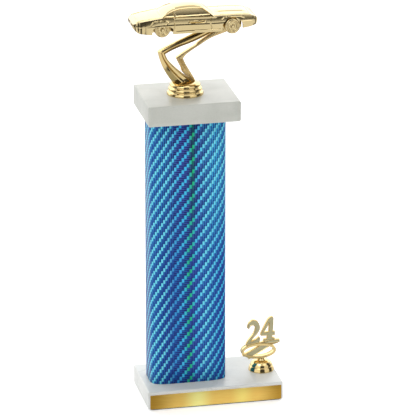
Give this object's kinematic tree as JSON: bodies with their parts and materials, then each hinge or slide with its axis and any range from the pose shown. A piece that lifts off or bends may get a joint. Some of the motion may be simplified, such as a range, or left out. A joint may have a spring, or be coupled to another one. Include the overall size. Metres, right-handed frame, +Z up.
{
  "type": "column trophy",
  "caption": "Trophy with marble base and lid on a rectangular column, a gold car figure on a swept riser above and a gold year emblem on the base.",
  "frame": {"origin": "middle of the felt-covered underside of the base", "axes": "+Z up through the column, +X along the base towards the year emblem and the car's nose, the name plate faces -Y"},
  "size_m": [0.1653, 0.0848, 0.4504],
  "materials": {
    "felt": "matt felt",
    "marble": "polished, faint grey veins",
    "tape": "adhesive film",
    "plate_gold": "satin anodised gold",
    "holographic_foil": "blue holographic woven foil over moulded tube",
    "white_plastic": "as moulded",
    "steel": "zinc plated",
    "plated_gold": "bright vacuum-plated gold",
    "satin_gold": "satin vacuum-plated gold",
    "brass": "turned"
  },
  "bodies": {
    "stand": {"felt_pad": "felt", "base_slab": "marble", "name_plate_tape": "tape", "name_plate": "plate_gold", "column_tube": "holographic_foil", "column_plug_lower": "white_plastic", "column_plug_upper": "white_plastic", "lid_slab": "marble"},
    "figure": {"tie_rod": "steel", "rod_washer": "steel", "rod_nut": "steel", "riser_foot": "plated_gold", "riser_insert": "brass", "riser_arms": "plated_gold", "car_body": "plated_gold", "car_chassis": "plated_gold", "wheel_rear_right": "satin_gold", "wheel_rear_left": "satin_gold", "wheel_front_right": "satin_gold", "wheel_front_left": "satin_gold"},
    "year_trim": {"trim_dome": "plated_gold", "trim_insert": "brass", "trim_emblem": "plated_gold", "trim_washer": "steel", "trim_screw": "steel"}
  },
  "joints": [
    {"name": "figure_swivel", "type": "hinge", "parent": "stand", "child": "figure", "pos_m": [-0.025, 0, 0.349], "axis": [0, 0, 1], "continuous": true},
    {"name": "trim_swivel", "type": "hinge", "parent": "stand", "child": "year_trim", "pos_m": [0.0605, 0, 0.0215], "axis": [0, 0, 1], "continuous": true}
  ]
}
